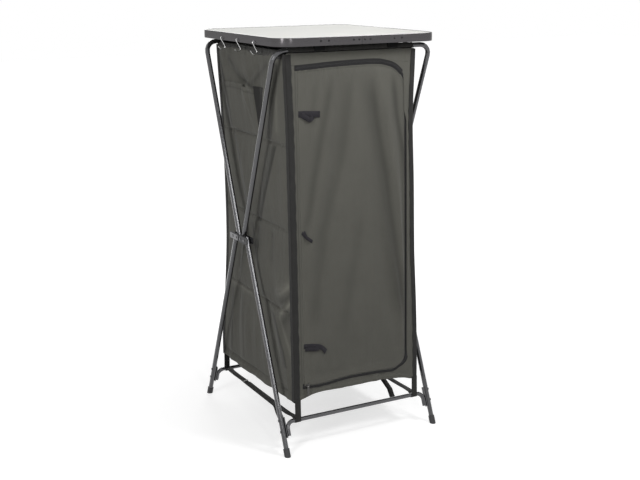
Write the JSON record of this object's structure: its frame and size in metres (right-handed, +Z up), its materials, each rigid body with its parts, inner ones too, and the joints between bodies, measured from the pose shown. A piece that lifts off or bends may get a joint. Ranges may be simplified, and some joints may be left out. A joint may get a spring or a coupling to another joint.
{
  "type": "camping cupboard",
  "caption": "Folding camping cupboard: tube frame crossed at side hubs, table top with metal rim, hanging fabric body with shelves, zipped door, side pocket and wire hooks.",
  "frame": {"origin": "on the ground under the middle of the standing cupboard", "axes": "+Z up, the door faces -Y, the pocket and hooks are on the -X side"},
  "size_m": [0.5844, 0.6462, 1.3],
  "materials": {
    "painted_steel": "satin dark grey paint",
    "rim_aluminium": "dark grey anodised",
    "white_laminate": "off-white matt laminate",
    "olive_fabric": "dull woven polyester",
    "black_webbing": "woven tape",
    "black_plastic": "fine grain",
    "zinc_plate": "zinc plated",
    "bright_wire": "polished wire",
    "shelf_board": "plain fibreboard",
    "dark_zip_metal": "dark plated"
  },
  "bodies": {
    "cupboard": {"back_wall": "olive_fabric", "binding_back_left": "black_webbing", "binding_back_right": "black_webbing", "binding_front_left": "black_webbing", "binding_front_right": "black_webbing", "floor_board": "shelf_board", "floor_cover": "olive_fabric", "front_surround": "olive_fabric", "hub_left_housing": "black_plastic", "hub_left_inner_plate": "painted_steel", "hub_left_plate": "zinc_plate", "hub_right_housing": "black_plastic", "hub_right_inner_plate": "painted_steel", "hub_right_plate": "zinc_plate", "left_wall": "olive_fabric", "right_wall": "olive_fabric", "roof_panel": "olive_fabric", "shelf_1_board": "shelf_board", "shelf_1_cover": "olive_fabric", "shelf_2_board": "shelf_board", "shelf_2_cover": "olive_fabric", "shelf_3_board": "shelf_board", "shelf_3_cover": "olive_fabric", "side_pocket": "olive_fabric", "zip": "black_webbing"},
    "upper_front_frame": {"upper_front_tube": "painted_steel", "top_band_front": "olive_fabric"},
    "upper_back_frame": {"upper_back_tube": "painted_steel", "top_band_back": "olive_fabric"},
    "lower_front_frame": {"rail_front": "painted_steel", "leg_front_left": "painted_steel", "leg_front_right": "painted_steel", "foot_cap_front_left": "black_plastic", "foot_cap_front_right": "black_plastic", "strap_front_left": "black_webbing", "strap_front_right": "black_webbing"},
    "lower_back_frame": {"rail_back": "painted_steel", "leg_back_left": "painted_steel", "leg_back_right": "painted_steel", "foot_cap_back_left": "black_plastic", "foot_cap_back_right": "black_plastic", "strap_back_left": "black_webbing", "strap_back_right": "black_webbing"},
    "table_top": {"table_board": "white_laminate", "table_rim": "rim_aluminium", "seat_front_left": "black_plastic", "seat_front_right": "black_plastic", "seat_back_left": "black_plastic", "seat_back_right": "black_plastic"},
    "door_panel": {"door": "olive_fabric", "tie_upper": "black_webbing", "tie_middle": "black_webbing", "tie_lower": "black_webbing"},
    "slider": {"zip_slider": "dark_zip_metal"},
    "pull": {"zip_pull": "dark_zip_metal"},
    "hook_back": {"hook_1": "bright_wire"},
    "hook_middle": {"hook_2": "bright_wire"},
    "hook_front": {"hook_3": "bright_wire"}
  },
  "joints": [
    {"name": "upper_front_fold", "type": "hinge", "parent": "cupboard", "child": "upper_front_frame", "pos_m": [0, -0.0135, 0.646], "axis": [-1, 0, 0], "range_deg": [0, 21.4], "deforming": ["top_band_front"]},
    {"name": "upper_back_fold", "type": "hinge", "parent": "cupboard", "child": "upper_back_frame", "pos_m": [0, 0.0135, 0.646], "axis": [1, 0, 0], "range_deg": [0, 21.4], "deforming": ["top_band_back"]},
    {"name": "lower_front_fold", "type": "hinge", "parent": "cupboard", "child": "lower_front_frame", "pos_m": [0, -0.0405, 0.646], "axis": [1, 0, 0], "range_deg": [0, 22.8], "deforming": ["strap_front_left", "strap_front_right"]},
    {"name": "lower_back_fold", "type": "hinge", "parent": "cupboard", "child": "lower_back_frame", "pos_m": [0, 0.0405, 0.646], "axis": [-1, 0, 0], "range_deg": [0, 22.8], "deforming": ["strap_back_left", "strap_back_right"]},
    {"name": "table_top_lift", "type": "slide", "parent": "cupboard", "child": "table_top", "axis": [0, 0, 1], "range_m": [0, 0.15]},
    {"name": "door_hinge", "type": "hinge", "parent": "cupboard", "child": "door_panel", "pos_m": [-0.2, -0.26965, 0.71275], "axis": [0.011, -0.0077, -0.9999], "range_deg": [0, 100]},
    {"name": "zip_slide", "type": "slide", "parent": "cupboard", "child": "slider", "axis": [1, 0, 0], "range_m": [0, 0.31]},
    {"name": "zip_pull_hinge", "type": "hinge", "parent": "slider", "child": "pull", "pos_m": [-0.1835, -0.28173, 0.2085], "axis": [-1, 0, 0], "range_deg": [0, 150]},
    {"name": "hook_back_hinge", "type": "hinge", "parent": "table_top", "child": "hook_back", "pos_m": [-0.27925, 0.107, 1.283], "axis": [0, 1, 0], "range_deg": [0, 45]},
    {"name": "hook_middle_hinge", "type": "hinge", "parent": "table_top", "child": "hook_middle", "pos_m": [-0.27925, -0.013, 1.283], "axis": [0, 1, 0], "range_deg": [0, 45]},
    {"name": "hook_front_hinge", "type": "hinge", "parent": "table_top", "child": "hook_front", "pos_m": [-0.27925, -0.133, 1.283], "axis": [0, 1, 0], "range_deg": [0, 45]}
  ],
  "couplings": [
    {"joint": "upper_back_fold", "follows": "upper_front_fold", "ratio": 1},
    {"joint": "lower_front_fold", "follows": "upper_front_fold", "ratio": 1.065},
    {"joint": "lower_back_fold", "follows": "upper_front_fold", "ratio": 1.065},
    {"joint": "table_top_lift", "follows": "upper_front_fold", "m_per_rad": 0.4}
  ]
}
